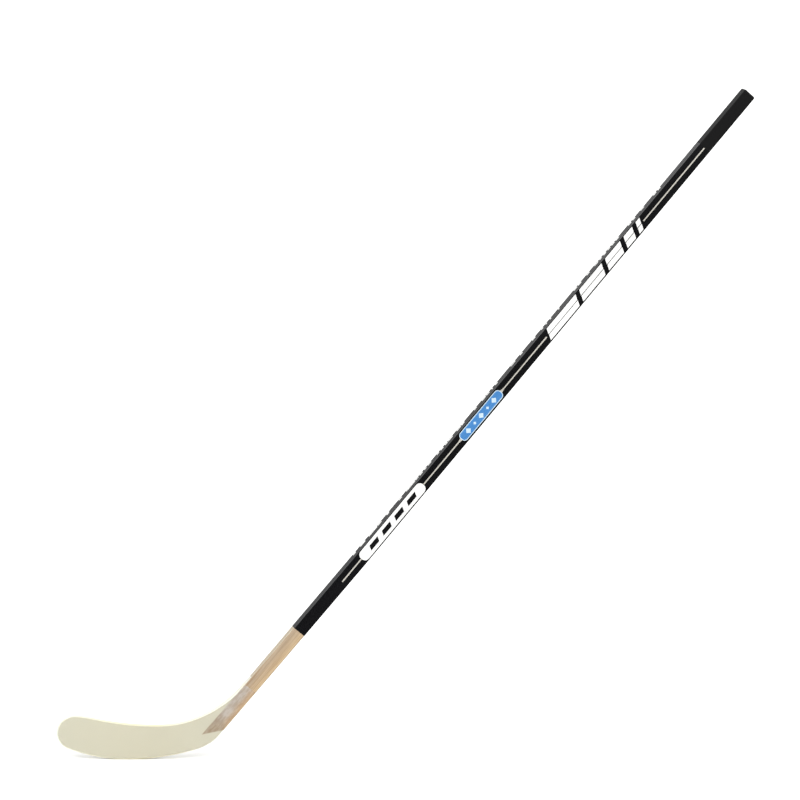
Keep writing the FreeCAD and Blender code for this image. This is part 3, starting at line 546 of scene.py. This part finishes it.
def cloth_rows(ring):
    """Pairs of (lower, upper) outline points, from the toe to the square end on the shaft."""
    toe = min(x for x, z in ring)
    end = max(Vector((x, 0, z)).dot(UP) for x, z in ring)
    rows = []
    for i in range(NOSE_ROWS):
        bend = math.pi / 2 * (i + 0.5) / NOSE_ROWS
        rows.append(crossings(ring, (toe + NOSE_LENGTH * (1 - math.cos(bend)), 0), (0, 1)))
    for i in range(BLADE_ROWS):
        x = toe + NOSE_LENGTH + (-CURVE_START - toe - NOSE_LENGTH) * i / BLADE_ROWS
        rows.append(crossings(ring, (x, 0), (0, 1)))
    low, high = crossings(ring, (-CURVE_START, 0), (0, 1))
    low_end, high_end = crossings(ring, (UP.x * BLEND_END, UP.z * BLEND_END), (FORWARD.x, FORWARD.z))
    for i in range(HEEL_ROWS):
        share = i / HEEL_ROWS
        foot = [low[k] + (low_end[k] - low[k]) * share for k in (0, 1)]
        head = [high[k] + (high_end[k] - high[k]) * share for k in (0, 1)]
        length = math.hypot(head[0] - foot[0], head[1] - foot[1])
        rows.append(crossings(ring, foot, ((head[0] - foot[0]) / length,
                                           (head[1] - foot[1]) / length)))
    for i in range(SHAFT_ROWS + 1):
        up = BLEND_END + (end - 0.01 * MM - BLEND_END) * i / SHAFT_ROWS
        rows.append(crossings(ring, (UP.x * up, UP.z * up), (FORWARD.x, FORWARD.z)))
    return rows


rows = cloth_rows(front_ring)
print(len(rows), "rows across the cloth")

# %% [markdown]
# Now the points are laid on the blade's face, one layer outside and one just inside, and joined into
# a closed shell. The two sheets take the place of the CAD sheets, which are hidden.

# %% The cloth shells
GAP = 0.10 * MM
SHEET = 0.40 * MM
SANDED = 1.5 * MM
COLUMNS = 24


def place_columns(length):
    """Places across a row, closer together over the sanded edges, as shares of its length."""
    edge = min(SANDED / length, 0.2)
    near = [0.0, edge * 0.25, edge * 0.6, edge]
    inner = [edge + (1 - 2 * edge) * i / (COLUMNS - 1) for i in range(1, COLUMNS - 1)]
    return near + inner + [1 - share for share in reversed(near)]


def lay_cloth(name, rows, side, material):
    """A closed thin shell on one face of the blade."""
    points, count = [], 0
    for height in ("outer", "inner"):
        for index, (low, high) in enumerate(rows):
            length = math.hypot(high[0] - low[0], high[1] - low[1])
            shares = place_columns(length)
            count = len(shares)
            from_end = min(index, len(rows) - 1 - index)
            for share in shares:
                x = low[0] + (high[0] - low[0]) * share
                z = low[1] + (high[1] - low[1]) * share
                reach = min(share, 1 - share) * length / SANDED
                if from_end == 0:
                    reach = min(reach, 0.25)
                full = min(reach, 1.0)
                lift = GAP if height == "inner" else GAP + (SHEET - GAP) * (0.35 + 0.65 * full)
                points.append((x, face_depth(x, z, side) + side * lift, z))
    size = len(rows) * count
    faces = []
    for r in range(len(rows) - 1):
        for c in range(count - 1):
            a, b = r * count + c, (r + 1) * count + c
            faces.append((a, a + 1, b + 1, b))
            faces.append((size + a, size + b, size + b + 1, size + a + 1))
    border = [(0, c) for c in range(count)]
    border += [(r, count - 1) for r in range(1, len(rows))]
    border += [(len(rows) - 1, c) for c in range(count - 2, -1, -1)]
    border += [(r, 0) for r in range(len(rows) - 2, 0, -1)]
    ids = [r * count + c for r, c in border]
    for a, b in zip(ids, ids[1:] + ids[:1]):
        faces.append((b, a, size + a, size + b))
    return finish_mesh(name, points, faces, material)


def finish_mesh(name, points, faces, material):
    """A smooth-shaded piece with its faces turned outwards, riding on the stick."""
    mesh = bpy.data.meshes.new(name)
    mesh.from_pydata(points, [], faces)
    work = bmesh.new()
    work.from_mesh(mesh)
    bmesh.ops.recalc_face_normals(work, faces=work.faces)
    work.to_mesh(mesh)
    work.free()
    mesh.materials.append(material)
    mesh.shade_smooth()
    piece = bpy.data.objects.new(name, mesh)
    bpy.context.scene.collection.objects.link(piece)
    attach(piece, "root")
    print(name, len(mesh.vertices), "points")
    return piece


for node, side in (("cloth_front", FRONT), ("cloth_back", BACK)):
    cloth = lay_cloth(node + "_sheet", rows, side, clear_cloth)
    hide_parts(node)

# %% [markdown]
# ## Ticks on the narrow side
#
# A broken row of short white ticks is printed along the front narrow side, over most of the film. A
# printed row is just what Geometry Nodes are good at: points along a line, some left out at random,
# and one thin tick put on each with its own length. The tree's inputs are the row's real sizes.

# %% Tick tree
TICK_STEP = 12.0 * MM
TICK_WIDE = 5.5 * MM
TICK_LONG = 9.0 * MM
INK = 0.06 * MM


def tick_tree(material):
    """Points up the shaft, thinned at random, with a thin tick on each."""
    tree = bpy.data.node_groups.new("printed_ticks", "GeometryNodeTree")
    face = tree.interface
    for label, kind in (("Count", "NodeSocketInt"), ("Step", "NodeSocketVector"),
                        ("Start", "NodeSocketVector"), ("Tick", "NodeSocketVector"),
                        ("Turn", "NodeSocketVector"), ("Kept", "NodeSocketFloat"),
                        ("Seed", "NodeSocketInt")):
        face.new_socket(label, in_out="INPUT", socket_type=kind)
    face.new_socket("Geometry", in_out="OUTPUT", socket_type="NodeSocketGeometry")
    given = add(tree, "NodeGroupInput").outputs
    line = add(tree, "GeometryNodeMeshLine", {"Count": given["Count"],
                                              "Start Location": given["Start"],
                                              "Offset": given["Step"]}, mode="OFFSET")
    kept = add(tree, "FunctionNodeRandomValue", {"Probability": given["Kept"],
                                                 "Seed": given["Seed"]}, data_type="BOOLEAN")
    block = add(tree, "GeometryNodeMeshCube", {"Size": given["Tick"]})
    length = add(tree, "FunctionNodeRandomValue", data_type="FLOAT_VECTOR")
    length.inputs[0].default_value = (0.35, 0.75, 1.0)
    length.inputs[1].default_value = (1.60, 1.10, 1.0)
    tree.links.new(given["Seed"], length.inputs["Seed"])
    placed = add(tree, "GeometryNodeInstanceOnPoints", {
        "Points": line.outputs["Mesh"], "Instance": block.outputs["Mesh"],
        "Rotation": given["Turn"], "Scale": length.outputs["Value"],
    })
    tree.links.new(next(out for out in kept.outputs if out.enabled), placed.inputs["Selection"])
    real = add(tree, "GeometryNodeRealizeInstances", {"Geometry": placed.outputs["Instances"]})
    inked = add(tree, "GeometryNodeSetMaterial", {"Geometry": real.outputs["Geometry"],
                                                  "Material": material})
    out = add(tree, "NodeGroupOutput")
    tree.links.new(inked.outputs["Geometry"], out.inputs["Geometry"])
    return tree


def grow(name, tree, **inputs):
    """Runs a Geometry Nodes tree once and keeps its result as a plain mesh on the stick."""
    holder = bpy.data.objects.new(name, bpy.data.meshes.new(name + "_start"))
    bpy.context.scene.collection.objects.link(holder)
    modifier = holder.modifiers.new("grow", "NODES")
    modifier.node_group = tree
    for item in tree.interface.items_tree:
        if item.in_out == "INPUT" and item.name in inputs:
            modifier[item.identifier] = inputs[item.name]
    graph = bpy.context.evaluated_depsgraph_get()
    grown = bpy.data.meshes.new_from_object(holder.evaluated_get(graph), depsgraph=graph)
    holder.modifiers.remove(modifier)
    holder.data = grown
    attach(holder, "root")
    print(name, len(grown.polygons), "faces")
    return holder


# %% [markdown]
# The tree is run once with the real sizes, and its result is kept as a plain mesh. About six in ten
# places along the row get a tick, because the printed row is broken.

# %% Print the ticks
TICKS_LOW, TICKS_HIGH = 470 * MM, 1360 * MM
TICKS_DEPTH = 2.6 * MM  # middle of the row, off the shaft's mid-plane
SUNK = 0.01 * MM  # the ink sits this far into the film, so that no gap shows
KEPT = 0.62
start = on_shaft(TICKS_LOW, TICKS_DEPTH, SHAFT_WIDTH + INK / 2 - SUNK)
ticks = grow(
    "narrow_side_ticks", tick_tree(inks["white"]),
    Count=int((TICKS_HIGH - TICKS_LOW) / TICK_STEP), Step=tuple(UP * TICK_STEP),
    Start=tuple(start), Tick=(TICK_LONG, TICK_WIDE, INK), Turn=(0.0, -LIE, 0.0),
    Kept=KEPT, Seed=7,
)

# %% [markdown]
# ## The studio
#
# A plain pale floor, large enough that its edge never shows, and one very broad soft light overhead.
# The camera stands well back with a long lens, turned a little towards the stick's front edge, and is
# framed in the stick's own directions.

# %% Floor
floor_mesh = bpy.data.meshes.new("floor")
REACH = 60.0
floor_mesh.from_pydata(
    [(-REACH, -REACH, 0), (REACH, -REACH, 0), (REACH, REACH, 0), (-REACH, REACH, 0)],
    [], [(0, 1, 2, 3)],
)
floor = bpy.data.objects.new("floor", floor_mesh)
bpy.context.scene.collection.objects.link(floor)
floor_paper = new_material("studio_paper", Base_Color=paint("#f6f6f5"), Roughness=0.9)
floor_mesh.materials.append(floor_paper[0])
print("floor", 2 * REACH, "m across")

# %% [markdown]
# The camera's sideways, upward and backward directions are worked out from the shaft's, so the stick
# would stay framed the same way at another lie angle.

# %% Camera
TURN = math.radians(17.0)  # how far the camera is round the shaft towards its front edge
TILT = math.radians(50.15)  # the shaft's slope in the picture
FRAME_WIDTH = 1.476
DISTANCE = 7.0
SENSOR = 36.0
side_on = FORWARD * math.cos(TURN) + DEPTH * math.sin(TURN)
towards = FORWARD * math.sin(TURN) - DEPTH * math.cos(TURN)
right = UP * math.cos(TILT) - side_on * math.sin(TILT)
upward = UP * math.sin(TILT) + side_on * math.cos(TILT)
MIDDLE_ACROSS, MIDDLE_UP = 0.3648, 0.6608  # the middle of the picture, from the heel
middle = right * MIDDLE_ACROSS + upward * MIDDLE_UP
camera = bpy.data.objects.new("camera", bpy.data.cameras.new("camera"))
bpy.context.scene.collection.objects.link(camera)
camera.data.sensor_width = SENSOR
camera.data.lens = SENSOR * DISTANCE / FRAME_WIDTH
camera.data.clip_end = 200
turn = Matrix((right, upward, towards)).transposed()
camera.matrix_world = Matrix.Translation(middle + towards * DISTANCE) @ turn.to_4x4()
bpy.context.scene.camera = camera
print("lens", round(camera.data.lens, 1), "mm")

# %% [markdown]
# A broad soft sun stands in for a bank of overhead softboxes and lights the whole floor evenly. The
# room is bright overhead and dark below the horizon, and the floor is kept out of reflections, so
# that the black film mirrors a dark room in front and a bright one above.

# %% Lights
sun = bpy.data.lights.new("overhead_bank", "SUN")
sun.energy = 2.7
sun.angle = math.radians(70)
overhead = bpy.data.objects.new("overhead_bank", sun)
bpy.context.scene.collection.objects.link(overhead)
overhead.rotation_euler = Vector((0.35, 0.50, -1.0)).to_track_quat("-Z", "Y").to_euler()

floor.visible_glossy = False
world = bpy.data.worlds.new("studio")
bpy.context.scene.world = world
world.use_nodes = True
room = world.node_tree
height = add(room, "ShaderNodeSeparateXYZ",
             {"Vector": add(room, "ShaderNodeTexCoord").outputs["Generated"]}).outputs["Z"]
climb = add(room, "ShaderNodeMapRange", {"Value": height, "From Min": -1.0, "From Max": 1.0})
glow = ramp(room, climb.outputs["Result"], (0.44, (0.01, 0.01, 0.01, 1)),
            (0.56, (0.30, 0.30, 0.30, 1)), (0.75, (0.8, 0.8, 0.8, 1)), (1.0, (1, 1, 1, 1)))
room.links.new(glow, room.nodes["Background"].inputs["Color"])
room.nodes["Background"].inputs["Strength"].default_value = 1.0
bpy.context.scene.view_settings.view_transform = "Standard"
print("sun", round(sun.energy, 2), "at", round(math.degrees(sun.angle)), "degrees wide")
